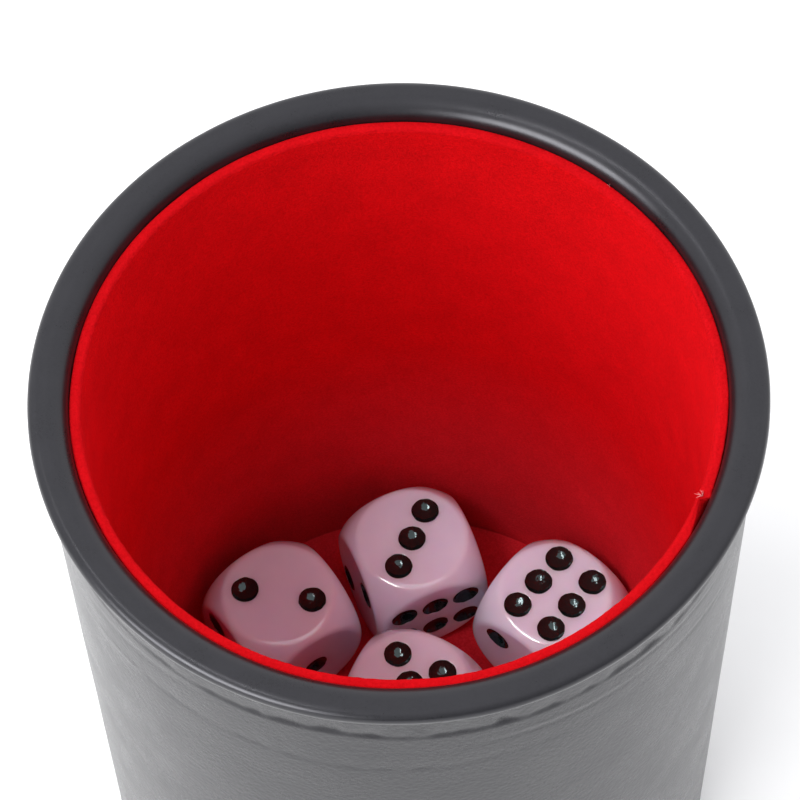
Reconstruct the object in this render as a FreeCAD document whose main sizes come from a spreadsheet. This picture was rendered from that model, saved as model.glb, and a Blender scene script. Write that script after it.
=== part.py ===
import FreeCAD, Part
import math
import os
import Sketcher

# A straight-sided leather dice cup with a red felt lining, and the four dice that lie in it.
# Frame: origin at the centre of the underside, +Z up out of the mouth, -Y is the front.
# All lengths are in millimetres.

SIZES = {
    # leather outside
    "rim_radius": 40.0,            # widest radius, at the rim band
    "cup_height": 98.0,
    "body_radius": 38.94,          # outside of the leather wrap
    "wrap_thickness": 0.94,
    "hem_width": 10.0,             # leather turned in under the tube
    "base_radius": 37.0,
    "base_thickness": 0.9,
    "wrap_seam_width": 0.4,
    "wrap_seam_depth": 0.3,
    # rim band, folded over the top of the tube
    "rim_skin": 1.0,
    "rim_shoulder": 1.15,          # rounding of its outer edge
    "rim_inner_round": 2.3,        # its inner edge rolls down to the felt
    "rim_side": 1.7,               # height of its outer leg, shoulder included
    "rim_lip_round": 0.3,
    "rim_turn_in": 10.0,           # height of its inner leg, behind the lining
    "rim_inner_radius": 35.6,
    # greyboard
    "tube_wall": 1.7,
    "tube_top_round": 1.3,         # rounding of the wall's inner top edge, under the rim band
    "board_thickness": 1.8,
    # lining
    "mouth_radius": 34.3,
    "floor_radius": 33.4,
    "lining_card": 0.6,
    "felt_thickness": 0.7,
    "lining_drop": 2.0,            # felt's top edge below the rim's top
    "felt_fold": 0.8,              # felt folded over the top of the card
    "felt_round": 0.6,
    "floor_card": 0.7,
    "floor_felt": 0.9,
    "felt_seam_width": 0.5,
    "felt_seam_depth": 0.3,
    "felt_seam_angle": -24.0,
    # dice
    "die_size": 16.0,
    "die_ball_radius": 10.8,       # the ball that rounds the corners and edges
    "die_edge_round": 0.5,         # softens the circle where a flat face meets the ball
    "pip_ball_radius": 2.35,
    "pip_depth": 0.85,
    "pip_paint": 0.12,
    "pip_corner": 3.17,            # pips of 2, 3, 4 and 5 from the face's centre
    "pip_row": 4.35,               # pips of 6 along its long direction
    "pip_column": 2.75,            # pips of 6 across it
}

# Where each die lies: face up, face towards its own -Y, centre x and y, and turn about Z.
DICE = {
    "three": {"top": 3, "front": 6, "x": 1.1, "y": 21.6, "turn": 20.2},
    "six": {"top": 6, "front": 2, "x": 19.48, "y": 12.72, "turn": -41.4},
    "two": {"top": 2, "front": 1, "x": -16.6, "y": 14.0, "turn": 33.3},
    "five": {"top": 5, "front": 1, "x": 0.1, "y": 0.5, "turn": -27.0},
}

# The way each number faces on a die as it is moulded; opposite faces add up to seven.
FACE_NORMALS = {
    1: FreeCAD.Vector(0, 1, 0),
    2: FreeCAD.Vector(-1, 0, 0),
    3: FreeCAD.Vector(0, 0, 1),
    4: FreeCAD.Vector(0, 0, -1),
    5: FreeCAD.Vector(1, 0, 0),
    6: FreeCAD.Vector(0, -1, 0),
}

doc = FreeCAD.newDocument("dice_cup")
sheet = doc.addObject("Spreadsheet::Sheet", "Sizes")
for row, (alias, number) in enumerate(SIZES.items(), start=1):
    sheet.set("A%d" % row, alias)
    sheet.set("B%d" % row, str(number))
    sheet.setAlias("B%d" % row, alias)
doc.recompute()


def signed_sum(names):
    """The value and the sheet expression of a sum such as ("cup_height", "-rim_skin")."""
    value = 0.0
    expression = ""
    for name in names:
        sign = "-" if name.startswith("-") else "+"
        alias = name.lstrip("-")
        value += -SIZES[alias] if sign == "-" else SIZES[alias]
        expression += "%s Sizes.%s " % (sign, alias)
    return value, expression.lstrip("+ ").strip()


def origin_plane(body, role):
    """The body's own origin plane with this role."""
    for feature in body.Origin.OriginFeatures:
        if feature.Role == role:
            return feature
    raise RuntimeError("no origin plane " + role)


def bind_point(sketch, geometry, axis, names):
    """Tie one coordinate of a line's start point to a sum of sheet cells."""
    value, expression = signed_sum(names)
    if not names:
        sketch_axis = -2 if axis == "X" else -1
        sketch.addConstraint(Sketcher.Constraint("PointOnObject", geometry, 1, sketch_axis))
        return
    index = sketch.addConstraint(Sketcher.Constraint("Distance" + axis, -1, 1, geometry, 1, value))
    sketch.setExpression("Constraints[%d]" % index, expression)


def turned_body(name, profile):
    """A body turned about Z from a closed outline of (radius, height) corners.

    Each coordinate is a tuple of sheet names to add up; an empty tuple means zero."""
    body = doc.addObject("PartDesign::Body", name)
    sketch = body.newObject("Sketcher::SketchObject", name + "_outline")
    sketch.AttachmentSupport = [(origin_plane(body, "XZ_Plane"), "")]
    sketch.MapMode = "FlatFace"
    corners = [FreeCAD.Vector(signed_sum(r)[0], signed_sum(z)[0], 0) for r, z in profile]
    count = len(corners)
    for i in range(count):
        sketch.addGeometry(Part.LineSegment(corners[i], corners[(i + 1) % count]), False)
    for i in range(count):
        sketch.addConstraint(Sketcher.Constraint("Coincident", i, 2, (i + 1) % count, 1))
    for i, (radius, height) in enumerate(profile):
        bind_point(sketch, i, "X", radius)
        bind_point(sketch, i, "Y", height)
    turned = body.newObject("PartDesign::Revolution", name + "_turned")
    turned.Profile = sketch
    turned.ReferenceAxis = (sketch, ["V_Axis"])
    turned.Angle = 360
    body.Tip = turned
    doc.recompute()
    return body


def ring_edge(body, radius, height):
    """The name of the body's round edge at this radius and height."""
    for index, edge in enumerate(body.Tip.Shape.Edges, start=1):
        curve = edge.Curve
        if isinstance(curve, Part.Circle) and abs(curve.Radius - radius) < 0.01:
            if abs(curve.Center.z - height) < 0.01:
                return "Edge%d" % index
    raise RuntimeError("no round edge at %g, %g" % (radius, height))


def round_ring(body, radius, height, size_name):
    """Round one ring-shaped edge of a turned body with the radius in a sheet cell."""
    base = body.Tip
    edge = ring_edge(body, signed_sum(radius)[0], signed_sum(height)[0])
    fillet = body.newObject("PartDesign::Fillet", "%s_%s" % (body.Name, size_name))
    fillet.Base = (base, [edge])
    fillet.Radius = SIZES[size_name]
    fillet.setExpression("Radius", "Sizes." + size_name)
    body.Tip = fillet
    doc.recompute()


def disc(name, radius, thickness, bottom):
    """A flat round piece lying on the level that its bottom names add up to."""
    piece = doc.addObject("Part::Cylinder", name)
    piece.setExpression("Radius", signed_sum(radius)[1])
    piece.setExpression("Height", signed_sum(thickness)[1])
    if bottom:
        piece.setExpression("Placement.Base.z", signed_sum(bottom)[1])
    return piece


def slot_cut(name, body, slot):
    """The body with one straight slot taken out of it."""
    cut = doc.addObject("Part::Cut", name)
    cut.Base = body
    cut.Tool = slot
    return cut


def cube_rotation(top, front):
    """The rotation that brings one face of a moulded die up and another towards -Y."""
    up = FACE_NORMALS[top]
    back = FACE_NORMALS[front] * -1
    right = back.cross(up)
    rows = (right, back, up)
    matrix = FreeCAD.Matrix(
        rows[0].x, rows[0].y, rows[0].z, 0,
        rows[1].x, rows[1].y, rows[1].z, 0,
        rows[2].x, rows[2].y, rows[2].z, 0,
        0, 0, 0, 1)
    return FreeCAD.Placement(matrix).Rotation


# Levels of the cup's floor, from the table up.
HEM_LEVEL = ("base_thickness",)
TUBE_LEVEL = ("base_thickness", "wrap_thickness")
FLOOR_CARD_LEVEL = TUBE_LEVEL + ("board_thickness",)
FLOOR_FELT_LEVEL = FLOOR_CARD_LEVEL + ("floor_card",)
FLOOR_LEVEL = FLOOR_FELT_LEVEL + ("floor_felt",)
TUBE_TOP = ("cup_height", "-rim_skin")
FELT_TOP = ("cup_height", "-lining_drop")
CARD_TOP = FELT_TOP + ("-felt_fold",)

TUBE_OUTSIDE = ("body_radius", "-wrap_thickness")
TUBE_INSIDE = TUBE_OUTSIDE + ("-tube_wall",)


def make_tube():
    """Wound greyboard tube: the stiff wall of the cup."""
    body = turned_body("board_tube", [
        (TUBE_INSIDE, TUBE_LEVEL),
        (TUBE_OUTSIDE, TUBE_LEVEL),
        (TUBE_OUTSIDE, TUBE_TOP),
        (TUBE_INSIDE, TUBE_TOP),
    ])
    round_ring(body, TUBE_INSIDE, TUBE_TOP, "tube_top_round")
    return body


def make_wrap():
    """Leather wrapped round the tube and turned in under it, with a butt seam at the back."""
    inner_hem = ("body_radius", "-hem_width")
    body = turned_body("wrap_body", [
        (inner_hem, HEM_LEVEL),
        (("body_radius",), HEM_LEVEL),
        (("body_radius",), TUBE_TOP),
        (TUBE_OUTSIDE, TUBE_TOP),
        (TUBE_OUTSIDE, TUBE_LEVEL),
        (inner_hem, TUBE_LEVEL),
    ])
    round_ring(body, ("body_radius",), HEM_LEVEL, "base_thickness")
    slot = doc.addObject("Part::Box", "wrap_seam")
    slot.setExpression("Length", "Sizes.wrap_seam_width")
    slot.setExpression("Width", "2 * Sizes.wrap_seam_depth")
    slot.setExpression("Height", "Sizes.cup_height")
    slot.setExpression("Placement.Base.x", "-Sizes.wrap_seam_width / 2")
    slot.setExpression("Placement.Base.y", "Sizes.body_radius - Sizes.wrap_seam_depth")
    return slot_cut("leather_wrap", body, slot)


def make_rim_band():
    """Leather strip folded over the top of the tube, down outside the wrap and inside the tube."""
    outer_foot = ("cup_height", "-rim_side")
    inner_foot = ("cup_height", "-rim_turn_in")
    body = turned_body("rim_band", [
        (("body_radius",), outer_foot),
        (("rim_radius",), outer_foot),
        (("rim_radius",), ("cup_height",)),
        (("rim_inner_radius",), ("cup_height",)),
        (("rim_inner_radius",), inner_foot),
        (TUBE_INSIDE, inner_foot),
        (TUBE_INSIDE, TUBE_TOP),
        (("body_radius",), TUBE_TOP),
    ])
    round_ring(body, ("rim_radius",), ("cup_height",), "rim_shoulder")
    round_ring(body, ("rim_inner_radius",), ("cup_height",), "rim_inner_round")
    round_ring(body, ("rim_radius",), outer_foot, "rim_lip_round")
    round_ring(body, TUBE_INSIDE, TUBE_TOP, "tube_top_round")
    return body


def make_lining_card():
    """Slightly tapered card sleeve that carries the felt and stands on the base board."""
    inside_foot = ("floor_radius", "felt_thickness")
    inside_top = ("mouth_radius", "felt_thickness")
    return turned_body("lining_card", [
        (inside_foot, FLOOR_CARD_LEVEL),
        (inside_foot + ("lining_card",), FLOOR_CARD_LEVEL),
        (inside_top + ("lining_card",), CARD_TOP),
        (inside_top, CARD_TOP),
    ])


def make_felt_wall():
    """Red felt on the inside of the sleeve, folded over its top edge, with one seam."""
    body = turned_body("felt_body", [
        (("floor_radius",), FLOOR_CARD_LEVEL),
        (("floor_radius", "felt_thickness"), FLOOR_CARD_LEVEL),
        (("mouth_radius", "felt_thickness"), CARD_TOP),
        (("mouth_radius", "felt_thickness", "lining_card"), CARD_TOP),
        (("mouth_radius", "felt_thickness", "lining_card"), FELT_TOP),
        (("mouth_radius",), FELT_TOP),
    ])
    round_ring(body, ("mouth_radius",), FELT_TOP, "felt_round")
    # The seam's slot reaches from the axis into the felt and leans outwards with the wall.
    rise = signed_sum(FELT_TOP)[0] - signed_sum(FLOOR_CARD_LEVEL)[0]
    lean = math.degrees(math.atan2(SIZES["mouth_radius"] - SIZES["floor_radius"], rise))
    about_z = FreeCAD.Rotation(FreeCAD.Vector(0, 0, 1), SIZES["felt_seam_angle"])
    slot = doc.addObject("Part::Box", "felt_seam")
    slot.setExpression("Length", "Sizes.floor_radius + Sizes.felt_seam_depth")
    slot.setExpression("Width", "Sizes.felt_seam_width")
    slot.setExpression("Height", "Sizes.cup_height")
    slot.Placement.Rotation = about_z.multiply(FreeCAD.Rotation(FreeCAD.Vector(0, 1, 0), lean))
    return slot_cut("felt_wall", body, slot)


def make_discs():
    """The flat layers of the bottom, from the outside in."""
    return [
        disc("base_leather", ("base_radius",), ("base_thickness",), ()),
        disc("base_card", ("body_radius", "-hem_width"), ("wrap_thickness",), HEM_LEVEL),
        disc("base_board", TUBE_INSIDE, ("board_thickness",), TUBE_LEVEL),
        disc("floor_card", ("floor_radius",), ("floor_card",), FLOOR_CARD_LEVEL),
        disc("felt_floor", ("floor_radius",), ("floor_felt",), FLOOR_FELT_LEVEL),
    ]


def pip_places():
    """Every pip of a moulded die, as (direction of its face, point on that face)."""
    half = SIZES["die_size"] / 2
    corner = SIZES["pip_corner"]
    row = SIZES["pip_row"]
    column = SIZES["pip_column"]
    middle = [(0, 0)]
    four = [(a * corner, b * corner) for a in (-1, 1) for b in (-1, 1)]
    x_axis, y_axis, z_axis = (FreeCAD.Vector(*v) for v in ((1, 0, 0), (0, 1, 0), (0, 0, 1)))
    # For each number: its two face directions and the pips' places along them. The diagonals of
    # the 2 and the 3 both end at the corner where the 2, 3 and 6 meet.
    faces = {
        1: (x_axis, z_axis, middle),
        2: (y_axis, z_axis, [(-corner, corner), (corner, -corner)]),
        3: (x_axis, y_axis, [(-corner, -corner), (corner, corner)] + middle),
        4: (x_axis, y_axis, four),
        5: (y_axis, z_axis, four + middle),
        6: (x_axis, z_axis, [(a * row, b * column) for a in (-1, 0, 1) for b in (-1, 1)]),
    }
    places = []
    for number, (first, second, spots) in faces.items():
        normal = FACE_NORMALS[number]
        for a, b in spots:
            places.append((normal, normal * half + first * a + second * b))
    return places


def pip_balls(name, radius):
    """One ball for each pip, sunk so far into its face that the pip has its depth."""
    lift = SIZES["pip_ball_radius"] - SIZES["pip_depth"]
    balls = []
    for index, (normal, place) in enumerate(pip_places(), start=1):
        ball = doc.addObject("Part::Sphere", "%s_%02d" % (name, index))
        ball.setExpression("Radius", signed_sum(radius)[1])
        ball.Placement.Base = place + normal * lift
        balls.append(ball)
    group = doc.addObject("Part::Compound", name)
    group.Links = balls
    return group


def make_dice():
    """Four plastic dice and the black paint in their pips, each with its own place in the cup."""
    block = doc.addObject("PartDesign::Body", "die_block")
    outline = block.newObject("Sketcher::SketchObject", "die_outline")
    outline.AttachmentSupport = [(origin_plane(block, "XY_Plane"), "")]
    outline.MapMode = "FlatFace"
    half = SIZES["die_size"] / 2
    ends = ((-half, -half), (half, -half), (half, half), (-half, half))
    corners = [FreeCAD.Vector(x, y, 0) for x, y in ends]
    for i in range(4):
        outline.addGeometry(Part.LineSegment(corners[i], corners[(i + 1) % 4]), False)
    for i in range(4):
        outline.addConstraint(Sketcher.Constraint("Coincident", i, 2, (i + 1) % 4, 1))
    for i in (0, 2):
        outline.addConstraint(Sketcher.Constraint("Horizontal", i))
        outline.addConstraint(Sketcher.Constraint("Vertical", i + 1))
    outline.addConstraint(Sketcher.Constraint("Symmetric", 0, 1, 2, 1, -1, 1))
    for axis, edge in (("X", 0), ("Y", 1)):
        index = outline.addConstraint(
            Sketcher.Constraint("Distance" + axis, edge, 1, edge, 2, SIZES["die_size"]))
        outline.setExpression("Constraints[%d]" % index, "Sizes.die_size")
    pad = block.newObject("PartDesign::Pad", "die_pad")
    pad.Profile = outline
    pad.Midplane = True
    pad.setExpression("Length", "Sizes.die_size")
    block.Tip = pad

    ball = doc.addObject("Part::Sphere", "die_ball")
    ball.setExpression("Radius", "Sizes.die_ball_radius")
    rounded = doc.addObject("Part::Common", "die_rounded")
    rounded.Base = block
    rounded.Tool = ball
    doc.recompute()
    circles = [
        index for index, edge in enumerate(rounded.Shape.Edges, start=1)
        if isinstance(edge.Curve, Part.Circle) and edge.Curve.Radius < half
        and abs(edge.Curve.Center.Length - half) < 0.01]
    radius = SIZES["die_edge_round"]
    blank = doc.addObject("Part::Fillet", "die_blank")
    blank.Base = rounded
    blank.Edges = [(index, radius, radius) for index in circles]
    dimples = pip_balls("pip_dimples", ("pip_ball_radius",))
    cores = pip_balls("pip_cores", ("pip_ball_radius", "-pip_paint"))
    doc.recompute()
    shells = doc.addObject("Part::Cut", "pip_shells")
    shells.Base = dimples
    shells.Tool = cores

    level = signed_sum(FLOOR_LEVEL)[1] + " + Sizes.die_size / 2"
    pieces = []
    for word, lie in DICE.items():
        turn = FreeCAD.Rotation(FreeCAD.Vector(0, 0, 1), lie["turn"])
        rotation = turn.multiply(cube_rotation(lie["top"], lie["front"]))
        for name, kind, tool in (
                ("die_%s_up" % word, "Part::Cut", dimples),
                ("pips_%s_up" % word, "Part::Common", shells)):
            piece = doc.addObject(kind, name)
            piece.Base = blank
            piece.Tool = tool
            piece.Placement = FreeCAD.Placement(FreeCAD.Vector(lie["x"], lie["y"], 0), rotation)
            piece.setExpression("Placement.Base.z", level)
            pieces.append(piece)
    return pieces


nodes = [make_tube(), make_wrap(), make_rim_band(), make_lining_card(), make_felt_wall()]
nodes += make_discs()
nodes += make_dice()
doc.recompute()

for item in doc.Objects:
    if "Invalid" in item.State or "Error" in item.State:
        raise RuntimeError("failed feature: " + item.Name)
for node in nodes:
    node.Label = node.Name
    if node.Shape.isNull() or not node.Shape.isValid():
        raise RuntimeError("bad shape: " + node.Name)

os.makedirs("parts", exist_ok=True)
for node in nodes:
    node.Shape.exportStep("parts/%s.step" % node.Label)
    box = node.Shape.BoundBox
    print("%-18s solids %2d  volume %9.2f  z %6.2f to %6.2f  radius %5.2f" % (
        node.Label, len(node.Shape.Solids), node.Shape.Volume, box.ZMin, box.ZMax, box.XMax))
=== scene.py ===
import math

import bpy
import numpy as np
from mathutils import Matrix, Vector, noise
from mathutils.geometry import delaunay_2d_cdt


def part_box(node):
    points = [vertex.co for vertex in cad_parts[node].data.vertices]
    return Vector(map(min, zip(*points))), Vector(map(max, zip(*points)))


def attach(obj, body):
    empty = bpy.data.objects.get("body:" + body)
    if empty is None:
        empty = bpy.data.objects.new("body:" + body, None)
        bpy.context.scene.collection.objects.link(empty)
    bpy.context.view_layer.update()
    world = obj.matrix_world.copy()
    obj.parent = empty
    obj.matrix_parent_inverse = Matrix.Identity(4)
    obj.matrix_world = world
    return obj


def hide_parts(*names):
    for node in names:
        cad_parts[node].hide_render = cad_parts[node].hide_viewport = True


# A leather dice cup with a red felt lining, seen from above with four dice on its floor.
# Sizes are in millimetres and are turned into metres where a mesh is made. Lamps are in metres.

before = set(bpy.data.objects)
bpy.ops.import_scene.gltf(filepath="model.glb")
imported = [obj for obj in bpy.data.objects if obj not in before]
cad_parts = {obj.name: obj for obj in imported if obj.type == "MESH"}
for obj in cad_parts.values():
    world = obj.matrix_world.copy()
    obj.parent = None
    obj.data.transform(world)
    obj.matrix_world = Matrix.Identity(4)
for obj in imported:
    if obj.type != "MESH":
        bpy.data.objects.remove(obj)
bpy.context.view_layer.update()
MM = 0.001


def node_box(name):
    """Lowest and highest corner of a CAD node, in millimetres."""
    low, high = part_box(name)
    return low / MM, high / MM


# ---------------------------------------------------------------- sizes from the frame

RIM_LOW, RIM_HIGH = node_box("rim_band")
WRAP_LOW, WRAP_HIGH = node_box("leather_wrap")
TUBE_LOW, TUBE_HIGH = node_box("board_tube")
FELT_LOW, FELT_HIGH = node_box("felt_wall")
FLOOR_LOW, FLOOR_HIGH = node_box("felt_floor")
BASE_LOW, BASE_HIGH = node_box("base_leather")
CARD_TOP = node_box("lining_card")[1].z
HEM_CARD_RADIUS = node_box("base_card")[1].x

RIM_RADIUS = RIM_HIGH.x
RIM_TOP = RIM_HIGH.z
RIM_TURN_IN = RIM_LOW.z                    # where the band ends inside the tube
BODY_RADIUS = WRAP_HIGH.x
TUBE_RADIUS = TUBE_HIGH.x
WRAP_THICKNESS = WRAP_HIGH.x - TUBE_HIGH.x
TUBE_TOP = TUBE_HIGH.z
LINING_OUTSIDE = FELT_HIGH.x               # felt folded over the card, at the mouth
FELT_TOP = FELT_HIGH.z
FELT_FOOT = FELT_LOW.z
FLOOR_RADIUS = FLOOR_HIGH.x
FLOOR_LEVEL = FLOOR_HIGH.z

# ---------------------------------------------------------------- sizes within the pieces

RIM_SIDE = 1.7                             # height of the rim band's outer leg
RIM_SHOULDER = 1.15                        # rounding of its outer edge
RIM_INNER_ROUND = 2.3                      # its inner edge rolls down to the felt
RIM_LIP_ROUND = 0.3
RIM_INNER_RADIUS = 35.6
RIM_DRAW_IN = 0.34                         # how far the lower edge of its side is pulled in
TUBE_TOP_ROUND = 1.3
TUBE_WALL = 1.7
BASE_EDGE_ROUND = 0.35
MOUTH_RADIUS = 34.3
FELT_THICKNESS = 0.7
FELT_TOP_ROUND = 0.6
FLOOR_PLAY = 0.15                          # gap round the floor disc
FLOOR_EDGE_ROUND = 0.4
AIR = 0.02                                 # keeps a cover just off the piece under it

# Polar angles are in degrees: +X is 0 and the front is -90.
FELT_SEAM_ANGLE = -24.0
FELT_GAP_END = -32.0                       # where the loose felt edge meets the rim again
WRAP_SEAM_ANGLE = 90.0

# Columns of a turned mesh round the cup.
WRAP_COLUMNS = 630
RIM_COLUMNS = 720
BASE_COLUMNS = 256
FELT_WALL_COLUMNS = 780
FELT_FLOOR_COLUMNS = 400

# ---------------------------------------------------------------- mesh helpers


def wave_noise(points, size, seed):
    """Smooth noise of about -1 to 1 with features of one size, at each point."""
    offset = Vector((seed * 17.3, seed * 5.1, seed * 9.7))
    return np.array([noise.noise(Vector(p) / size + offset) for p in points])


def ramp_up(value, low, reach):
    """0 up to low, then straight to 1 over reach."""
    return np.clip((value - low) / reach, 0, 1)


def bump_between(value, low, high, soft):
    """1 between low and high, falling smoothly to 0 over soft on each side."""
    rise = np.clip((value - low) / soft + 0.5, 0, 1)
    fall = np.clip((high - value) / soft + 0.5, 0, 1)
    return rise * rise * (3 - 2 * rise) * fall * fall * (3 - 2 * fall)


def groove(offset, width):
    """1 on a line, falling to 0 on both sides of it."""
    return np.exp(-(offset / width) ** 2)


def angle_gap(degrees, centre):
    """Signed difference of polar angles, from -180 to 180 degrees."""
    return (degrees - centre + 180.0) % 360.0 - 180.0


def arc(centre, radius, start, end, steps):
    """Points (radius, height) on a round stretch of a profile; angles in degrees."""
    angles = np.radians(np.linspace(start, end, steps))
    return [(centre[0] + radius * math.cos(a), centre[1] + radius * math.sin(a)) for a in angles]


def line(start, end, step):
    """Evenly spaced points from start up to, but without, end."""
    count = max(1, int(math.ceil(math.dist(start, end) / step)))
    return [
        (start[0] + (end[0] - start[0]) * i / count, start[1] + (end[1] - start[1]) * i / count)
        for i in range(count)
    ]


def add_piece(name, verts, faces, material, body, stands_for):
    """A smooth mesh from points in millimetres that rides on a body and replaces CAD nodes."""
    mesh = bpy.data.meshes.new(name)
    mesh.from_pydata([tuple(v) for v in np.asarray(verts) * MM], [], faces)
    mesh.polygons.foreach_set("use_smooth", [True] * len(mesh.polygons))
    mesh.materials.append(material)
    mesh.validate()
    mesh.update()
    piece = bpy.data.objects.new(name, mesh)
    bpy.context.scene.collection.objects.link(piece)
    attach(piece, body)
    if stands_for:
        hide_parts(*stands_for)
    return piece


def ring_points(angle, radius, height):
    """Points given by polar angle, radius and height, as x, y, z."""
    radians = np.radians(angle)
    return np.stack([radius * np.cos(radians), radius * np.sin(radians), height], axis=1)


def lathe(profile, columns, shape):
    """A closed ring solid: profile is a closed loop of (radius, height) points, and
    shape(angle, radius, height) gives the changed radius and height of every point."""
    profile = np.array(profile)
    rows = len(profile)
    degrees = np.arange(columns) * 360.0 / columns
    angle = np.repeat(degrees, rows)
    radius, height = shape(angle, np.tile(profile[:, 0], columns), np.tile(profile[:, 1], columns))
    faces = []
    for c in range(columns):
        here = c * rows
        there = ((c + 1) % columns) * rows
        for r in range(rows):
            after = (r + 1) % rows
            faces.append((here + r, there + r, there + after, here + after))
    return ring_points(angle, radius, height), faces


def turned_disc(profile, columns, shape=None):
    """A closed solid of revolution whose open profile starts and ends on the axis."""
    profile = np.array(profile)
    rows = len(profile) - 2
    degrees = np.arange(columns) * 360.0 / columns
    angle = np.concatenate([[0], np.repeat(degrees, rows), [0]])
    radius, height = (
        np.concatenate([side[:1], np.tile(side[1:-1], columns), side[-1:]]) for side in profile.T)
    if shape:
        radius, height = shape(angle, radius, height)
    verts = ring_points(angle, radius, height)
    faces = []
    last = len(verts) - 1
    for c in range(columns):
        here = 1 + c * rows
        there = 1 + ((c + 1) % columns) * rows
        faces.append((0, there, here))
        for r in range(rows - 1):
            faces.append((here + r, there + r, there + r + 1, here + r + 1))
        faces.append((here + rows - 1, there + rows - 1, last))
    return verts, faces


# ---------------------------------------------------------------- material helpers


class Shader:
    """A node tree around one Principled shader, with short calls for its patterns."""

    def __init__(self, name, colour, roughness, ior=1.5):
        self.material = bpy.data.materials.new(name)
        self.material.use_nodes = True
        self.nodes = self.material.node_tree.nodes
        self.links = self.material.node_tree.links
        self.principled = self.nodes["Principled BSDF"]
        self.principled.inputs["Base Color"].default_value = (*colour, 1)
        self.principled.inputs["Roughness"].default_value = roughness
        self.principled.inputs["IOR"].default_value = ior
        self.place = self.nodes.new("ShaderNodeTexCoord").outputs["Object"]

    def set(self, **sockets):
        """Constants on the shader's own sockets."""
        for socket, value in sockets.items():
            self.principled.inputs[socket.replace("_", " ")].default_value = value

    def feed(self, socket, value):
        """A pattern into one of the shader's sockets."""
        self.links.new(value, self.principled.inputs[socket])

    def stretched(self, x, y, z):
        """Coordinates scaled apart, for patterns that run in one direction."""
        mapping = self.nodes.new("ShaderNodeMapping")
        mapping.inputs["Scale"].default_value = (x, y, z)
        self.links.new(self.place, mapping.inputs["Vector"])
        return mapping.outputs["Vector"]

    def noise(self, size_mm, detail=2.0, roughness=0.5, place=None):
        """Cloudy noise, 0 to 1, with features of about one size."""
        node = self.nodes.new("ShaderNodeTexNoise")
        node.inputs["Scale"].default_value = 1 / (size_mm * MM)
        node.inputs["Detail"].default_value = detail
        node.inputs["Roughness"].default_value = roughness
        self.links.new(place or self.place, node.inputs["Vector"])
        return node.outputs["Fac"]

    def pebbles(self, size_mm):
        """Distance from the middle of soft rounded cells."""
        node = self.nodes.new("ShaderNodeTexVoronoi")
        node.feature = "SMOOTH_F1"
        node.inputs["Scale"].default_value = 1 / (size_mm * MM)
        self.links.new(self.place, node.inputs["Vector"])
        return node.outputs["Distance"]

    def ramp(self, value, *stops):
        """A colour ramp over (position, colour) stops."""
        node = self.nodes.new("ShaderNodeValToRGB")
        elements = node.color_ramp.elements
        while len(elements) < len(stops):
            elements.new(1.0)
        for element, (position, colour) in zip(elements, stops):
            element.position = position
            element.color = (*colour, 1)
        self.links.new(value, node.inputs["Fac"])
        return node.outputs["Color"]

    def span(self, value, low, high, to_low, to_high):
        """The stretch from low to high, moved to the stretch from to_low to to_high."""
        node = self.nodes.new("ShaderNodeMapRange")
        for socket, number in (
                ("From Min", low), ("From Max", high), ("To Min", to_low), ("To Max", to_high)):
            node.inputs[socket].default_value = number
        self.links.new(value, node.inputs["Value"])
        return node.outputs["Result"]

    def add(self, first, second, share):
        """first + share * second."""
        node = self.nodes.new("ShaderNodeMath")
        node.operation = "MULTIPLY_ADD"
        self.links.new(second, node.inputs[0])
        node.inputs[1].default_value = share
        self.links.new(first, node.inputs[2])
        return node.outputs["Value"]

    def rise(self, low, high):
        """0 below one height and 1 above another, in millimetres."""
        parts = self.nodes.new("ShaderNodeSeparateXYZ")
        self.links.new(self.place, parts.inputs["Vector"])
        return self.span(parts.outputs["Z"], low * MM, high * MM, to_low=0, to_high=1)

    def multiply(self, colour, other):
        """Two colours multiplied."""
        node = self.nodes.new("ShaderNodeMix")
        node.data_type = "RGBA"
        node.blend_type = "MULTIPLY"
        node.inputs["Factor"].default_value = 1
        self.links.new(colour, node.inputs["A"])
        self.links.new(other, node.inputs["B"])
        return node.outputs["Result"]

    def bump(self, value, depth_mm, strength):
        """Relief too fine for the mesh."""
        node = self.nodes.new("ShaderNodeBump")
        node.inputs["Strength"].default_value = strength
        node.inputs["Distance"].default_value = depth_mm * MM
        self.links.new(value, node.inputs["Height"])
        self.links.new(node.outputs["Normal"], self.principled.inputs["Normal"])


# ---------------------------------------------------------------- materials

WHITE = (1, 1, 1)


def body_leather():
    """Black matte leatherette with a very fine pebble grain."""
    shader = Shader("body_leather", (0.010, 0.010, 0.012), roughness=0.28, ior=1.365)
    fine = shader.pebbles(0.55)
    pores = shader.noise(0.22, detail=3.0, roughness=0.6)
    cloudy = shader.noise(6.0, detail=4.0, roughness=0.6)
    shader.feed("Base Color", shader.ramp(
        shader.add(pores, cloudy, 0.6),
        (0.45, (0.006, 0.006, 0.0075)),
        (1.05, (0.014, 0.014, 0.0165))))
    shader.feed("Roughness", shader.span(
        shader.add(cloudy, pores, 0.6), 0.4, 1.2, to_low=0.22, to_high=0.34))
    shader.set(Specular_Tint=(0.95, 0.94, 1, 1))
    shader.bump(shader.add(fine, pores, 0.7), depth_mm=0.05, strength=0.5)
    return shader.material


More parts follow.
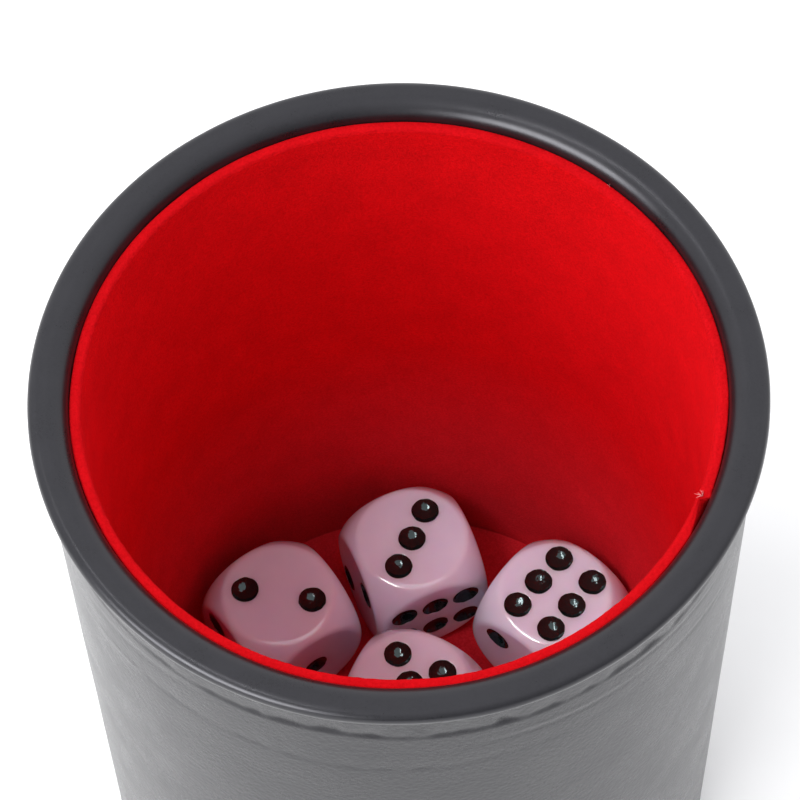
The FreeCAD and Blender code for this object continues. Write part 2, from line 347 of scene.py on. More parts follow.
def rim_leather():
    """The same leather stretched smooth over the rim, with a satin finish."""
    shader = Shader("rim_leather", (0.0045, 0.0045, 0.0055), roughness=0.3, ior=1.48)
    fine = shader.noise(0.3, detail=3.0, roughness=0.6)
    cloudy = shader.noise(4.0, detail=3.0)
    shader.feed("Base Color", shader.ramp(
        shader.add(fine, cloudy, 0.8),
        (0.5, (0.003, 0.003, 0.0042)),
        (1.2, (0.0075, 0.0075, 0.0095))))
    shader.feed("Roughness", shader.span(
        shader.add(cloudy, fine, 0.7), 0.6, 1.1, to_low=0.27, to_high=0.34))
    shader.set(Specular_Tint=(0.94, 0.935, 1, 1))
    shader.bump(cloudy, depth_mm=0.008, strength=0.5)
    return shader.material


def red_felt():
    """Short-napped red felt: speckled pile, worn patches, a painted haze deep down in the cup
    that makes the red paler and a little darker, and painted shade that darkens and cools
    the top of the fold, which faces the light."""
    shader = Shader("felt", (0.65, 0.003, 0.006), roughness=0.95)
    pile = shader.noise(0.28, detail=4.0, roughness=0.7)
    colour = shader.ramp(
        pile,
        (0.25, (0.53, 0.0022, 0.0042)),
        (0.5, (0.70, 0.003, 0.0056)),
        (0.75, (0.82, 0.0046, 0.009)))
    worn = shader.ramp(
        shader.noise(5.0, detail=3.0, roughness=0.6), (0.3, (0.88, 0.88, 0.88)), (0.7, WHITE))
    # Painted haze: deep down in the cup the red is made paler and a little darker, standing for grey
    # stray light in the shade there.
    depth = shader.ramp(
        shader.rise(5.0, FELT_TOP), (0.0, (0.94, 6, 5)), (0.2, (0.96, 4.5, 4)), (0.5, WHITE))
    # Painted shade: the top of the fold, which faces the light, is darkened and cooled.
    fold = shader.ramp(
        shader.rise(FELT_TOP - 0.8, FELT_TOP - 0.3), (0.0, WHITE), (1.0, (0.68, 0.9, 0.95)))
    for shade in (worn, depth, fold):
        colour = shader.multiply(colour, shade)
    shader.feed("Base Color", colour)
    shader.set(
        Sheen_Weight=0.1, Sheen_Roughness=0.5, Sheen_Tint=(1, 0.02, 0.04, 1),
        Specular_IOR_Level=0.03)
    shader.bump(shader.add(pile, shader.noise(0.9), 0.6), depth_mm=0.2, strength=0.6)
    return shader.material


def pale_fibre():
    """Undyed fibre, coloured pink to red."""
    shader = Shader("pale_fibre", (0.75, 0.42, 0.42), roughness=0.7)
    shades = shader.noise(0.4)
    shader.feed("Base Color", shader.ramp(
        shades, (0.35, (0.70, 0.14, 0.15)), (0.65, (0.75, 0.30, 0.30))))
    shader.set(Sheen_Weight=0.2)
    shader.bump(shades, depth_mm=0.02, strength=0.4)
    return shader.material


def board(name, light, dark):
    """Pressed board or card with short fibres in it."""
    shader = Shader(name, light, roughness=0.9)
    fibres = shader.noise(0.8, detail=5.0, roughness=0.65, place=shader.stretched(1, 1, 5))
    shader.feed("Base Color", shader.ramp(fibres, (0.35, dark), (0.65, light)))
    shader.bump(fibres, depth_mm=0.05, strength=0.4)
    return shader.material


def die_plastic():
    """Polished pale lilac plastic that lets a little light through."""
    shader = Shader("die_plastic", (0.72, 0.73, 0.92), roughness=0.1)
    shader.feed("Base Color", shader.ramp(
        shader.noise(5.0), (0.3, (0.70, 0.71, 0.91)), (0.7, (0.74, 0.75, 0.95))))
    shader.set(
        Subsurface_Weight=0.85, Subsurface_Radius=(1.0, 0.8, 0.9), Subsurface_Scale=2.4 * MM,
        Coat_Weight=0.9, Coat_Roughness=0.03)
    shader.bump(shader.noise(2.2, detail=1.0), depth_mm=0.015, strength=0.3)
    return shader.material


def pip_paint():
    """Glossy black paint that has pooled unevenly in the pips."""
    shader = Shader("pip_paint", (0.005, 0.012, 0.012), roughness=0.04, ior=1.6)
    pooled = shader.noise(0.7, roughness=0.6)
    shader.feed("Roughness", shader.span(pooled, 0.3, 0.7, to_low=0.015, to_high=0.06))
    shader.set(Specular_Tint=(0.8, 0.98, 1, 1))
    shader.bump(pooled, depth_mm=0.09, strength=0.6)
    return shader.material


# ---------------------------------------------------------------- cup: leather


# Creases that run round the body under the rim: level below the rim's top, how far the line
# wanders, how far the fold above it and the ledge below it reach, depth, and the middle and
# half width of the stretch where it is strongest, in degrees.
CREASES = [
    (6.3, 0.25, 2.1, 0.85, 0.26, -82.0, 36.0),
    (14.2, 0.5, 2.4, 1.3, 0.05, -112.0, 34.0),
]
# Short slanting wrinkles: polar angle and level below the top of the middle, slope in mm for
# each degree, half length in degrees, width and depth.
WRINKLES = [
    (-138.0, 9.5, 0.10, 11.0, 0.8, 0.035),
    (-146.0, 17.0, 0.16, 9.0, 0.9, 0.05),
    (-126.0, 19.5, -0.05, 13.0, 1.0, 0.04),
    (-44.0, 8.6, -0.09, 10.0, 0.45, 0.06),
    (-36.0, 14.5, -0.16, 9.0, 0.6, 0.05),
    (-64.0, 10.6, -0.04, 12.0, 0.5, 0.04),
    (20.0, 9.0, 0.10, 12.0, 0.5, 0.06),
    (62.0, 12.5, -0.08, 14.0, 0.6, 0.06),
    (128.0, 10.0, 0.07, 12.0, 0.5, 0.06),
    (165.0, 15.0, -0.12, 10.0, 0.6, 0.06),
]
CREASED_HEIGHT = 16.0                      # finely meshed leather under the rim's top
UNEVEN_HEIGHT = 24.0                       # the leather is least smooth over this height
SEAM_GROOVE = (0.28, 0.28)                 # depth and width of the butt seam
SEAM_SWELL = (0.08, 0.9, 0.5)              # height, distance from the seam and width


def crease_change(angle, height, points):
    """Radius change of the long creases: leather sinks towards the line and steps out below it."""
    change = np.zeros_like(height)
    for seed, (level, wander, above, below, depth, middle, reach) in enumerate(CREASES, start=31):
        ragged = wave_noise(points * np.array([1, 1, 0.3]), 1.9, seed)
        drift = wave_noise(points * np.array([1, 1, 0.0]), 8.0, seed + 5)
        off = height - (RIM_TOP - level) - wander * drift - 0.8 * wander * ragged
        strength = 0.4 + 0.6 * bump_between(angle_gap(angle, middle), -reach, reach, 30.0)
        strength *= np.clip(0.75 + 0.9 * ragged, 0.2, 1.4)
        fold = np.exp(-np.maximum(off, 0) / above)
        ledge = np.clip(1 + off / below, 0, 1)
        change -= strength * depth * np.where(off > 0, fold, ledge * ledge * (3 - 2 * ledge))
    return change


def wrinkle_change(angle, height):
    """Radius change of the short slanting wrinkles: a groove with a soft ridge above it."""
    change = np.zeros_like(height)
    for middle, level, slope, reach, width, depth in WRINKLES:
        gap = angle_gap(angle, middle)
        off = height - (RIM_TOP - level) - slope * gap
        along = bump_between(gap, -reach, reach, reach)
        ridge = 0.5 * groove(off - 1.6 * width, width)
        change += depth * along * (ridge - groove(off, width))
    return change


def wrap_shape(angle, radius, height):
    """Creases under the rim, gentle unevenness and the seam at the back, outside only."""
    middle = BODY_RADIUS - 0.5 * WRAP_THICKNESS
    outside = ramp_up(radius, middle, 0.4 * WRAP_THICKNESS)
    points = ring_points(angle, radius, height)
    near_rim = np.clip(1 - (RIM_TOP - height) / UNEVEN_HEIGHT, 0, 1)
    change = crease_change(angle, height, points) + wrinkle_change(angle, height)
    bands = wave_noise(points * np.array([0.3, 0.3, 1.0]), 3.6, 1)
    change += (0.006 + 0.014 * near_rim) * bands
    change += 0.05 * wave_noise(points, 14.0, 2)
    seam = np.radians(angle_gap(angle, WRAP_SEAM_ANGLE)) * BODY_RADIUS
    groove_depth, groove_width = SEAM_GROOVE
    change -= groove_depth * groove(seam, groove_width)
    swell, swell_place, swell_width = SEAM_SWELL
    change += swell * groove(np.abs(seam) - swell_place, swell_width)
    return radius + change * outside, height


def make_wrap(material):
    """Outer leather from under the rim band down to the hem turned in below the tube."""
    bottom = WRAP_LOW.z
    tube_foot = TUBE_LOW.z
    inner = HEM_CARD_RADIUS + AIR
    back = TUBE_RADIUS + AIR
    bend = WRAP_THICKNESS
    top = TUBE_TOP - AIR
    plain_top = (BODY_RADIUS, RIM_TOP - CREASED_HEIGHT)
    profile = []
    profile += line((inner, bottom), (BODY_RADIUS - bend, bottom), 1.0)
    profile += arc((BODY_RADIUS - bend, bottom + bend), bend, -90, 0, 9)
    profile += line((BODY_RADIUS, bottom + bend + 0.4), plain_top, 2.0)
    profile += line(plain_top, (BODY_RADIUS, top), 0.25)
    profile += [(BODY_RADIUS, top), (BODY_RADIUS - WRAP_THICKNESS + AIR, top)]
    profile += line((back, top - 4), (back, tube_foot), 8.0)
    profile += line((back, tube_foot - AIR), (inner, tube_foot - AIR), 2.0)
    profile += [(inner, tube_foot - AIR)]
    verts, faces = lathe(profile, WRAP_COLUMNS, wrap_shape)
    add_piece("leather_cover", verts, faces, material, "cup", ["leather_wrap"])


def rim_profile():
    """Closed outline of the rim band, starting at its lower edge outside."""
    foot = RIM_TOP - RIM_SIDE
    tube_inside = TUBE_RADIUS - TUBE_WALL
    shoulder = (RIM_RADIUS - RIM_SHOULDER, RIM_TOP - RIM_SHOULDER)
    inner = (RIM_INNER_RADIUS + RIM_INNER_ROUND, RIM_TOP - RIM_INNER_ROUND)
    lip = (RIM_RADIUS - RIM_LIP_ROUND, foot + RIM_LIP_ROUND)
    tube_edge = (tube_inside + TUBE_TOP_ROUND, TUBE_TOP - TUBE_TOP_ROUND)
    outline = [(BODY_RADIUS + AIR, foot)]
    outline += arc(lip, RIM_LIP_ROUND, -90, 0, 6)
    outline += arc(shoulder, RIM_SHOULDER, 0, 90, 14)
    outline += line((shoulder[0] - 0.15, RIM_TOP), (inner[0], RIM_TOP), 0.15)
    outline += arc(inner, RIM_INNER_ROUND, 90, 180, 22)
    outline += line((RIM_INNER_RADIUS, inner[1] - 0.4), (RIM_INNER_RADIUS, RIM_TURN_IN), 1.0)
    outline += [(RIM_INNER_RADIUS, RIM_TURN_IN), (tube_inside - AIR, RIM_TURN_IN)]
    outline += arc(tube_edge, TUBE_TOP_ROUND + AIR, 180, 90, 8)
    outline += [(BODY_RADIUS + AIR, TUBE_TOP + AIR)]
    return outline


def rim_shape(angle, radius, height):
    """A hand-made rim: an uneven side, slightly drawn in, and a lower edge that wanders."""
    outside = np.clip((radius - BODY_RADIUS - 0.2) / 0.5, 0, 1)
    points = ring_points(angle, radius, height)
    long_wave = wave_noise(points * np.array([1, 1, 0.2]), 11.0, 5)
    short_wave = wave_noise(points, 3.0, 6)
    side = outside * np.clip((RIM_TOP - 0.5 - height) / 1.0, 0, 1)
    radius_change = side * (0.07 * long_wave + 0.03 * short_wave - 0.10)
    drop = np.clip((RIM_TOP - 0.9 - height) / 1.9, 0, 1)
    radius = radius + radius_change - outside * RIM_DRAW_IN * drop ** 2
    foot = np.clip((RIM_TOP - 1.1 - height) / 0.6, 0, 1) * outside
    height = height + foot * (0.16 * long_wave + 0.06 * short_wave)
    on_top = ramp_up(height, RIM_TOP - 1.2, 1.2) * ramp_up(radius, RIM_INNER_RADIUS, 0.4)
    height = height + on_top * (0.03 * long_wave + 0.015 * short_wave - 0.045)
    return radius, height


def make_rim(material):
    """Leather strip folded over the top edge."""
    verts, faces = lathe(rim_profile(), RIM_COLUMNS, rim_shape)
    add_piece("rim_cover", verts, faces, material, "cup", ["rim_band"])


def make_base(material):
    """Leather disc on the underside, with a soft edge."""
    edge = BASE_EDGE_ROUND
    low = BASE_LOW.z
    high = BASE_HIGH.z - AIR
    radius = BASE_HIGH.x
    profile = [(0, low)]
    profile += line((4, low), (radius - edge, low), 1.5)
    profile += arc((radius - edge, low + edge), edge, -90, 0, 6)
    profile += [(radius, high - 0.15), (radius - 0.1, high)]
    profile += line((radius - 1.0, high), (3, high), 4.0)
    profile += [(0, high)]
    verts, faces = turned_disc(profile, BASE_COLUMNS)
    add_piece("base_cover", verts, faces, material, "cup", ["base_leather"])


# ---------------------------------------------------------------- cup: felt

SEAM_VALLEY = (0.16, 0.35)                 # depth and width of the felt's seam
LOOSE_EDGE = 0.9                           # how far the loose fold stays off the rim
LOOSE_SAG = 0.3


def felt_radius(height):
    """Inside radius of the slightly tapered lining at a height."""
    share = (height - FELT_FOOT) / (FELT_TOP - FELT_FOOT)
    return FLOOR_RADIUS + (MOUTH_RADIUS - FLOOR_RADIUS) * share


def felt_wall_shape(angle, radius, height):
    """Nap on the inside and the folded edge, the seam, and the loose corner beside it."""
    card_inside = felt_radius(height) + FELT_THICKNESS
    napped = np.clip((card_inside - radius) / (0.6 * FELT_THICKNESS), 0, 1)
    at_top = ramp_up(height, CARD_TOP + 0.1, 0.4)
    napped = np.maximum(napped, at_top)
    points = ring_points(angle, radius, height)
    pile = wave_noise(points, 0.45, 11)
    soft = wave_noise(points, 2.4, 12)
    broad = wave_noise(points, 11.0, 13)
    radius = radius - napped * (0.04 * pile + 0.04 * soft + 0.08 * broad + 0.02)
    height = height + at_top * (0.06 * pile + 0.07 * soft - 0.10)
    # seam: a narrow valley down the wall
    gap = angle_gap(angle, FELT_SEAM_ANGLE)
    off = np.radians(gap) * radius
    valley_depth, valley_width = SEAM_VALLEY
    radius = radius + napped * valley_depth * groove(off, valley_width)
    # on one side of the seam the folded edge doesn't reach the rim
    beside_seam = bump_between(-off, 0.3, 99.0, 0.6)
    loose = np.clip(1 + gap / (FELT_SEAM_ANGLE - FELT_GAP_END), 0, 1) * beside_seam
    fold_start = MOUTH_RADIUS + 0.2
    folded = ramp_up(radius, fold_start, LINING_OUTSIDE - fold_start) * at_top
    radius = radius - loose * (LOOSE_EDGE * folded + 0.1 * at_top)
    height = height - LOOSE_SAG * loose * folded
    return radius, height


def make_felt_wall(material):
    """Red felt wall, folded over the top of its card."""
    card_top = CARD_TOP + AIR
    edge = FELT_TOP_ROUND
    outer_top = LINING_OUTSIDE - AIR
    outer_edge = 0.2
    foot = (felt_radius(FELT_FOOT), FELT_FOOT)
    near_top = (felt_radius(90.0), 90.0)
    profile = []
    profile += line(foot, near_top, 1.1)
    profile += line(near_top, (MOUTH_RADIUS, FELT_TOP - edge - 0.2), 0.4)
    profile += arc((MOUTH_RADIUS + edge, FELT_TOP - edge), edge, 180, 90, 8)
    profile += line(
        (MOUTH_RADIUS + edge + 0.1, FELT_TOP), (outer_top - outer_edge, FELT_TOP), 0.14)
    profile += arc((outer_top - outer_edge, FELT_TOP - outer_edge), outer_edge, 90, 0, 4)
    profile += [(outer_top, card_top)]
    back_top = (felt_radius(card_top) + FELT_THICKNESS - AIR, card_top)
    back_foot = (foot[0] + FELT_THICKNESS - AIR, FELT_FOOT)
    profile += line(back_top, back_foot, 6.0) + [back_foot]
    verts, faces = lathe(profile, FELT_WALL_COLUMNS, felt_wall_shape)
    piece = add_piece("felt_lining", verts, faces, material, "cup", ["felt_wall"])


# Loose fibres and lint: polar angle, radius and height of the tuft, strands, their length
# and thickness.
TUFTS = [
    (-24.4, 34.75, 95.95, 9, 0.8, 0.075),
    (46.3, 35.35, 96.0, 5, 0.45, 0.045),
]
STRAND_SIDES = 6
STRAND_STEPS = 7
STRAND_CURL = 0.45
STRAND_TAPER = 0.6
FIBRE_SEED = 3                             # noise_vector differs in every run without one


def strand(start, heading, length, thickness, seed):
    """One curved, tapered fibre as a closed tube."""
    sides = STRAND_SIDES
    last_step = STRAND_STEPS - 1
    verts = []
    place = Vector(start)
    heading = Vector(heading).normalized()
    for step in range(STRAND_STEPS):
        across = heading.orthogonal().normalized()
        along = heading.cross(across)
        width = thickness / 2 * (1 - STRAND_TAPER * step / last_step)
        for side in range(sides):
            turn = 2 * math.pi * side / sides
            verts.append(place + width * (math.cos(turn) * across + math.sin(turn) * along))
        bend = noise.noise_vector(Vector((seed * 3.7, step * 0.45, seed * 1.3)))
        heading = (heading + STRAND_CURL * bend).normalized()
        place = place + heading * (length / last_step)
    faces = []
    for step in range(last_step):
        for side in range(sides):
            after = (side + 1) % sides
            low = step * sides
            faces.append((low + side, low + after, low + sides + after, low + sides + side))
    faces.append(tuple(range(sides))[::-1])
    faces.append(tuple(range(last_step * sides, STRAND_STEPS * sides)))
    return verts, faces


def make_fibres(material):
    """Frayed pale fibres where the felt is cut at the seam, and lint caught along the edge."""
    noise.seed_set(FIBRE_SEED)
    verts = []
    faces = []
    for tuft, (angle, radius, height, count, length, thickness) in enumerate(TUFTS):
        turn = math.radians(angle)
        inwards = Vector((-math.cos(turn), -math.sin(turn), 0))
        middle = -inwards * radius + Vector((0, 0, height))
        for number in range(count):
            seed = 10.0 * tuft + number + 0.5
            spread = noise.noise_vector(Vector((seed, 2.0 * seed, 0.3)))
            heading = 0.35 * inwards + Vector((0, 0, 0.35)) + 1.1 * spread
            reach = length * (0.7 + 0.4 * noise.noise(Vector((seed, 5.0, 1.0))))
            root = middle + 0.22 * spread
            tube_verts, tube_faces = strand(root, heading, reach, thickness, seed)
            start = len(verts)
            verts.extend(tuple(v) for v in tube_verts)
            faces.extend([tuple(start + i for i in face) for face in tube_faces])
    add_piece("felt_fibres", verts, faces, material, "cup", [])


def floor_shape(angle, radius, height):
    """Nap on top of the floor disc, and its edge pressed down where it meets the wall."""
    on_top = ramp_up(height, FLOOR_LEVEL - 0.3, 0.3)
    points = ring_points(angle, radius, height)
    pile = wave_noise(points, 0.5, 21)
    soft = wave_noise(points, 3.0, 22)
    edge = ramp_up(radius, FLOOR_RADIUS - 1.6, 1.6)
    height = height + on_top * (0.04 * pile + 0.06 * soft - 0.10 - 0.35 * edge ** 2)
    return radius, height


def make_felt_floor(material):
    """Red felt disc that the dice lie on."""
    radius = FLOOR_RADIUS - FLOOR_PLAY
    low = FLOOR_LOW.z + AIR
    high = FLOOR_LEVEL
    edge = FLOOR_EDGE_ROUND
    profile = [(0, low)]
    profile += line((6, low), (radius, low), 5.0)
    profile += [(radius, low)]
    profile += arc((radius - edge, high - edge), edge, 0, 90, 6)
    profile += line((radius - 0.6, high), (0.5, high), 0.5)
    profile += [(0, high)]
    verts, faces = turned_disc(profile, FELT_FLOOR_COLUMNS, floor_shape)
    piece = add_piece("felt_floor_disc", verts, faces, material, "cup", ["felt_floor"])


# ---------------------------------------------------------------- dice

DIE_SIZE = 16.0
DIE_HALF = DIE_SIZE / 2
DIE_BALL_RADIUS = 10.8                     # the ball that rounds the corners and edges
DIE_BLEND = 0.38                           # softens where the ball meets the faces
DIE_GRID = 41                              # mesh lines across a face
DIE_CIRCLE_STEPS = 180
# Mesh circles near the line where the ball meets a face, and the band the grid leaves to them.
DIE_CIRCLE_OFFSETS = (-0.5, -0.36, -0.24, -0.12, 0, 0.12, 0.24, 0.36, 0.5)
DIE_CIRCLE_BAND = 0.62

PIP_BALL_RADIUS = 2.35
PIP_DEPTH = 0.85
PIP_RADIUS = math.sqrt(PIP_BALL_RADIUS ** 2 - (PIP_BALL_RADIUS - PIP_DEPTH) ** 2)
PIP_PAINT = 0.06                           # thickness of the paint
PIP_PAINT_EDGE = 0.012                     # how far it stands proud at its edge
PIP_PAINT_UNDER = 0.03                     # how far it reaches into the plastic
PIP_CORNER = 3.17
PIP_ROW = 4.35
PIP_COLUMN = 2.75
# Mesh rings in a pip's bowl: share of the pip's radius and points round it.
PIP_BOWL_RINGS = ((1.07, 56), (1.012, 56), (0.985, 56), (0.9, 48), (0.75, 36), (0.5, 24), (0.25, 12))
PIP_FILM_RINGS = (0.0, 0.16, 0.3, 0.43, 0.55, 0.66, 0.76, 0.85, 0.93, 0.98, 1.0)
PIP_FILM_STEPS = 44

# Node and body, number on top, number towards the die's own -Y, and turn about Z.
DICE = [
    ("three", 3, 6, 20.2),
    ("six", 6, 2, -41.4),
    ("two", 2, 1, 33.3),
    ("five", 5, 1, -27.0),
]

# For each number as moulded: the way its face looks, its two directions and its pips along them.
TWO = [(-PIP_CORNER, PIP_CORNER), (PIP_CORNER, -PIP_CORNER)]
THREE = [(-PIP_CORNER, -PIP_CORNER), (0, 0), (PIP_CORNER, PIP_CORNER)]
FOUR = [(a * PIP_CORNER, b * PIP_CORNER) for a in (-1, 1) for b in (-1, 1)]
SIX = [(a * PIP_ROW, b * PIP_COLUMN) for a in (-1, 0, 1) for b in (-1, 1)]
FACES = {
    1: ((0, 1, 0), (1, 0, 0), (0, 0, 1), [(0, 0)]),
    2: ((-1, 0, 0), (0, 1, 0), (0, 0, 1), TWO),
    3: ((0, 0, 1), (1, 0, 0), (0, 1, 0), THREE),
    4: ((0, 0, -1), (1, 0, 0), (0, 1, 0), FOUR),
    5: ((1, 0, 0), (0, 1, 0), (0, 0, 1), FOUR + [(0, 0)]),
    6: ((0, -1, 0), (1, 0, 0), (0, 0, 1), SIX),
}


def die_distance(points):
    """Distance-like value, zero on the surface of the rounded die without its pips."""
    block = np.abs(points).max(axis=1) - DIE_HALF
    ball = np.linalg.norm(points, axis=1) - DIE_BALL_RADIUS
    mix = np.maximum(DIE_BLEND - np.abs(block - ball), 0)
    return np.maximum(block, ball) + mix * mix / (4 * DIE_BLEND)


def onto_die(points):
    """Each point of the plain cube moved along its ray from the centre onto the rounded die."""
    low = np.full(len(points), 0.3)
    high = np.full(len(points), 1.2)
    for _ in range(40):
        middle = (low + high) / 2
        outside = die_distance(points * middle[:, None]) > 0
        high = np.where(outside, middle, high)
        low = np.where(outside, low, middle)
    return points * ((low + high) / 2)[:, None]


def dimple_drop(distance):
    """How far a pip's bowl lies under its face at a distance from the pip's middle."""
    inside = np.minimum(distance, PIP_RADIUS)
    return np.sqrt(PIP_BALL_RADIUS ** 2 - inside ** 2) - (PIP_BALL_RADIUS - PIP_DEPTH)


def face_points(spots):
    """Points on one flat face: a grid, circles where it meets the ball, rings in each pip."""
    steps = np.linspace(-DIE_HALF, DIE_HALF, DIE_GRID)
    circle = math.sqrt(DIE_BALL_RADIUS ** 2 - DIE_HALF ** 2)
    keep = [
        (a, b) for a in steps for b in steps
        if all(math.dist((a, b), spot) > PIP_RADIUS + 0.2 for spot in spots)
        and abs(math.hypot(a, b) - circle) > DIE_CIRCLE_BAND
    ]
    for offset in DIE_CIRCLE_OFFSETS:
        for i in range(DIE_CIRCLE_STEPS):
            turn = 2 * math.pi * i / DIE_CIRCLE_STEPS
            a = (circle + offset) * math.cos(turn)
            b = (circle + offset) * math.sin(turn)
            if max(abs(a), abs(b)) < DIE_HALF - 0.04:
                keep.append((a, b))
    for spot in spots:
        for share, count in PIP_BOWL_RINGS:
            for i in range(count):
                turn = 2 * math.pi * i / count
                keep.append((
                    spot[0] + share * PIP_RADIUS * math.cos(turn),
                    spot[1] + share * PIP_RADIUS * math.sin(turn)))
        keep.append(spot)
    return keep


def die_mesh():
    """The moulded die, its pips sunk in: points and triangles about its own centre."""
    verts = []
    faces = []
    for normal, first, second, spots in FACES.values():
        normal, first, second = (np.array(v, float) for v in (normal, first, second))
        flat_points = [Vector(p) for p in face_points(spots)]
        flat, _, triangles, _, _, _ = delaunay_2d_cdt(flat_points, [], [], 0, 1e-7)
        flat = np.array([tuple(p) for p in flat])
        cube = normal * DIE_HALF + flat[:, :1] * first + flat[:, 1:] * second
        surface = onto_die(cube)
        nearest = np.min([np.linalg.norm(flat - np.array(s), axis=1) for s in spots], axis=0)
        surface = surface - normal * dimple_drop(nearest)[:, None]
        flip = np.dot(np.cross(first, second), normal) < 0
        start = len(verts)
        verts.extend(surface)
        for triangle in triangles:
            corners = [start + i for i in triangle]
            faces.append(corners[::-1] if flip else corners)
    return np.array(verts), faces


def pip_film(normal, first, second, spot, seed):
    """A closed film of paint that lines one pip, uneven on top and at its edge."""
    count = PIP_FILM_STEPS
    verts = []
    for layer in (1, -1):
        for share in PIP_FILM_RINGS:
            for i in range(count if share else 1):
                turn = 2 * math.pi * i / count
                ragged = noise.noise(Vector((2.6 * math.cos(turn), 2.6 * math.sin(turn), seed)))
                distance = share * PIP_RADIUS * (1 + 0.035 * ragged * share ** 6)
                a = spot[0] + distance * math.cos(turn)
                b = spot[1] + distance * math.sin(turn)
                lift = -PIP_PAINT_UNDER
                if layer > 0:
                    pooled = 1 + 0.9 * noise.noise(Vector((a * 1.9, b * 1.9, seed + 7.0)))
                    lift = PIP_PAINT_EDGE + PIP_PAINT * pooled * math.sqrt(1 - share ** 2)
                drop = float(dimple_drop(np.array([distance]))[0]) - lift
                verts.append(normal * (DIE_HALF - drop) + a * first + b * second)
    rings = len(PIP_FILM_RINGS)
    layer_size = 1 + (rings - 1) * count
    faces = []
    for layer in (0, 1):
        start = layer * layer_size
        loops = [[start + 1 + r * count + i for i in range(count)] for r in range(rings - 1)]
        for i in range(count):
            after = (i + 1) % count
            fan = [start, loops[0][i], loops[0][after]]
            faces.append(fan if layer == 0 else fan[::-1])
            for r in range(rings - 2):
                quad = [loops[r][i], loops[r + 1][i], loops[r + 1][after], loops[r][after]]
                faces.append(quad if layer == 0 else quad[::-1])
    edge = [1 + (rings - 2) * count + i for i in range(count)]
    for i in range(count):
        after = (i + 1) % count
        faces.append([edge[i], edge[i] + layer_size, edge[after] + layer_size, edge[after]])
    if np.dot(np.cross(first, second), normal) < 0:
        faces = [face[::-1] for face in faces]
    return verts, faces


def pips_mesh():
    """The paint of all the pips of a moulded die."""
    verts = []
    faces = []
    for number, (normal, first, second, spots) in FACES.items():
        axes = [np.array(v, float) for v in (normal, first, second)]
        for index, spot in enumerate(spots):
            film_verts, film_faces = pip_film(*axes, spot, number * 10.0 + index)
            start = len(verts)
            verts.extend(film_verts)
            faces.extend([[start + i for i in face] for face in film_faces])
    return np.array(verts), faces


def lying(top, front, turn):
    """Rotation that brings one number up and another to the front, then turns about Z."""
    up = np.array(FACES[top][0], float)
    back = -np.array(FACES[front][0], float)
    right = np.cross(back, up)
    level = np.stack([right, back, up])
    angle = math.radians(turn)
    about_z = np.array([
        [math.cos(angle), -math.sin(angle), 0],
        [math.sin(angle), math.cos(angle), 0],
        [0, 0, 1]])
    return about_z @ level


def join_doubles(piece):
    """Weld the six faces of a die along their shared edges."""
    weld = piece.modifiers.new("weld", "WELD")
    weld.merge_threshold = 0.002 * MM
    bpy.context.view_layer.objects.active = piece
    with bpy.context.temp_override(object=piece, active_object=piece):
        bpy.ops.object.modifier_apply(modifier=weld.name)
    piece.data.polygons.foreach_set("use_smooth", [True] * len(piece.data.polygons))


def make_dice(plastic, paint):
    """Four dice with their paint, each where its CAD node lies."""
    die_verts, die_faces = die_mesh()
    pip_verts, pip_faces = pips_mesh()
    pieces = []
    for word, top, front, turn in DICE:
        low, high = node_box("die_%s_up" % word)
        centre = np.array((low + high) / 2)
        rotation = lying(top, front, turn)
        body = word + "_die"
        die = add_piece(
            "die_" + word, die_verts @ rotation.T + centre, die_faces, plastic, body,
            ["die_%s_up" % word])
        join_doubles(die)
        pips = add_piece(
            "pips_" + word, pip_verts @ rotation.T + centre, pip_faces, paint, body,
            ["pips_%s_up" % word])
        pieces += [die, pips]
    return pieces


# ---------------------------------------------------------------- hidden pieces of the cup


def dress_hidden_nodes():
    """Board and card that stay as CAD made them get their own finish."""
    greyboard = board("greyboard", (0.42, 0.39, 0.35), (0.30, 0.28, 0.25))
    # The lining card is black so that the narrow gap between rim and felt shows dark: painted shade
    # in that gap.
    black_card = board("card", (0.05, 0.045, 0.045), (0.025, 0.022, 0.022))
    finishes = {
        "board_tube": greyboard,
        "base_board": greyboard,
        "base_card": black_card,
        "lining_card": black_card,
        "floor_card": black_card,
    }
    for name, material in finishes.items():
        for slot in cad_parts[name].material_slots:
            slot.material = material


# ---------------------------------------------------------------- floor, light and camera

TABLE_HALF = 6.0                           # metres
LAMP_DISTANCE = 1.0                        # metres from the middle of the cup's mouth

# Lamps: direction from the mouth, width and height in metres, watts, and the surfaces that
# see them. Each light has one lamp for matte surfaces and one for the shine on glossy ones.
LAMPS = {
    "strip_light": ((-0.43, -0.20, 0.88), 0.9, 0.22, 6.9, "matte"),
    "strip_shine": ((-0.36, -0.05, 0.93), 0.8, 0.045, 1.6, "glossy"),
    "glint": ((-0.36, -0.05, 0.93), 0.85, 0.17, 7.0, "glossy"),
    "window_light": ((-0.67, -0.64, 0.40), 0.85, 0.5, 2.7, "matte"),
    "window_shine": ((-0.67, -0.64, 0.36), 0.85, 0.44, 14.3, "glossy"),
}

ROOM_COLOUR = (0.99, 0.99, 1.01)
ROOM_BRIGHTEST = (0, 0.7, 1)               # the direction, up and towards the back
ROOM_RISE = {"From Min": -0.3, "From Max": 0.8, "To Min": 0.6, "To Max": 1.4}

CAMERA_PLACE = (0.0, -173.4, 387.6)
CAMERA_AIM = (0.14, 0.0, 93.8)
CAMERA_ROLL = -2.02                        # degrees
CAMERA_LENS = 141.5
CAMERA_SENSOR = 36.0


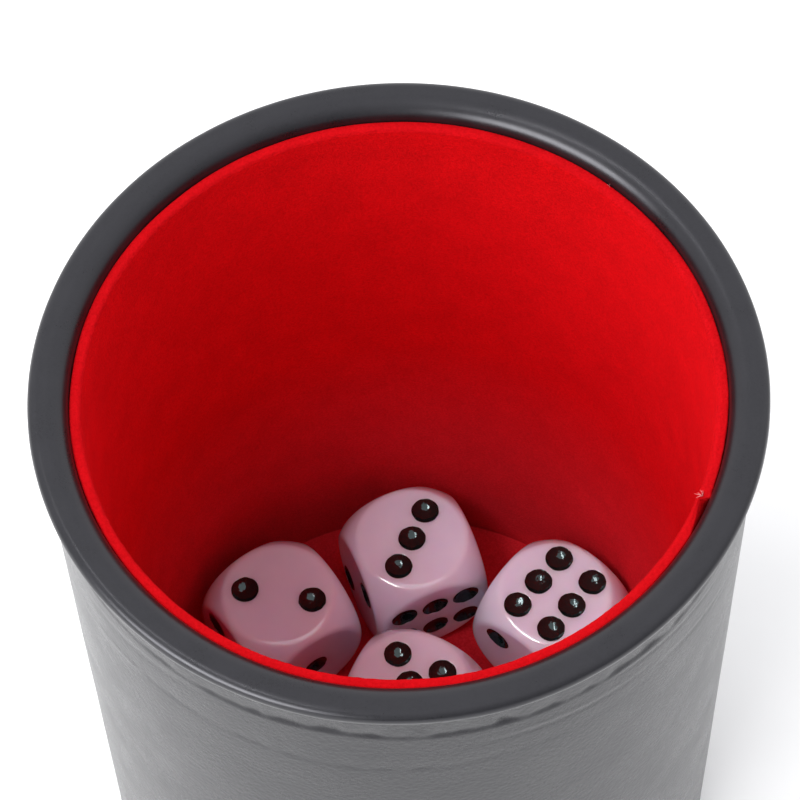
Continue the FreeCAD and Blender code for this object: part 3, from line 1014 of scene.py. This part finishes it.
def make_table():
    """Plain pale surface that the cup stands on."""
    half = TABLE_HALF
    corners = [(-half, -half, 0), (half, -half, 0), (half, half, 0), (-half, half, 0)]
    mesh = bpy.data.meshes.new("floor")
    mesh.from_pydata(corners, [], [(0, 1, 2, 3)])
    shader = Shader("floor", (0.93, 0.93, 0.93), roughness=0.7)
    shader.feed("Base Color", shader.ramp(
        shader.noise(30.0, detail=3.0), (0.3, (0.9, 0.9, 0.9)), (0.7, (0.94, 0.94, 0.94))))
    mesh.materials.append(shader.material)
    table = bpy.data.objects.new("floor", mesh)
    bpy.context.scene.collection.objects.link(table)


def make_lamp(name, direction, width, height, power, seen_by):
    """A rectangular area light aimed at the cup's mouth, for matte or for glossy surfaces."""
    light = bpy.data.lights.new(name, "AREA")
    light.shape = "RECTANGLE"
    light.size = width
    light.size_y = height
    light.energy = power
    lamp = bpy.data.objects.new(name, light)
    aim = Vector((0, 0, RIM_TOP * MM))
    lamp.location = aim + Vector(direction).normalized() * LAMP_DISTANCE
    lamp.rotation_euler = (aim - lamp.location).to_track_quat("-Z", "Y").to_euler()
    lamp.visible_diffuse = seen_by == "matte"
    lamp.visible_glossy = seen_by == "glossy"
    bpy.context.scene.collection.objects.link(lamp)
    return lamp


def shine_only_on(lamp, pieces):
    """Limits a lamp to some pieces, as a flag in front of it would."""
    group = bpy.data.collections.new(lamp.name + "_receivers")
    for piece in pieces:
        group.objects.link(piece)
    lamp.light_linking.receiver_collection = group


def make_room():
    """World light: a bright ceiling over dimmer walls, dimmest towards the front."""
    world = bpy.data.worlds.new("room")
    world.use_nodes = True
    nodes = world.node_tree.nodes
    links = world.node_tree.links
    place = nodes.new("ShaderNodeTexCoord")
    towards = nodes.new("ShaderNodeVectorMath")
    towards.operation = "DOT_PRODUCT"
    towards.inputs[1].default_value = ROOM_BRIGHTEST
    rise = nodes.new("ShaderNodeMapRange")
    for socket, number in ROOM_RISE.items():
        rise.inputs[socket].default_value = number
    links.new(place.outputs["Generated"], towards.inputs[0])
    links.new(towards.outputs["Value"], rise.inputs["Value"])
    links.new(rise.outputs["Result"], nodes["Background"].inputs["Strength"])
    nodes["Background"].inputs["Color"].default_value = (*ROOM_COLOUR, 1)
    bpy.context.scene.world = world


def make_light(dice):
    """A bright room, a strip light high on the left and a low window on the front left.
    The glint is a wider strip that only the dice reflect."""
    make_room()
    for name, settings in LAMPS.items():
        lamp = make_lamp(name, *settings)
        if name == "glint":
            shine_only_on(lamp, dice)


def make_camera():
    """Camera above the front of the cup, looking down into it with a slight roll."""
    camera = bpy.data.cameras.new("camera")
    camera.lens = CAMERA_LENS
    camera.sensor_width = CAMERA_SENSOR
    eye = bpy.data.objects.new("camera", camera)
    place = Vector(CAMERA_PLACE) * MM
    aim = Vector(CAMERA_AIM) * MM
    look = (aim - place).to_track_quat("-Z", "Y").to_matrix().to_4x4()
    roll = Matrix.Rotation(math.radians(CAMERA_ROLL), 4, "Z")
    eye.matrix_world = Matrix.Translation(place) @ look @ roll
    bpy.context.scene.collection.objects.link(eye)
    bpy.context.scene.camera = eye


# ---------------------------------------------------------------- the scene

leather = body_leather()
felt = red_felt()
make_wrap(leather)
make_rim(rim_leather())
make_base(leather)
make_felt_wall(felt)
make_felt_floor(felt)
make_fibres(pale_fibre())
dice = make_dice(die_plastic(), pip_paint())
dress_hidden_nodes()
make_table()
make_light(dice)
make_camera()
bpy.context.scene.view_settings.view_transform = "Standard"
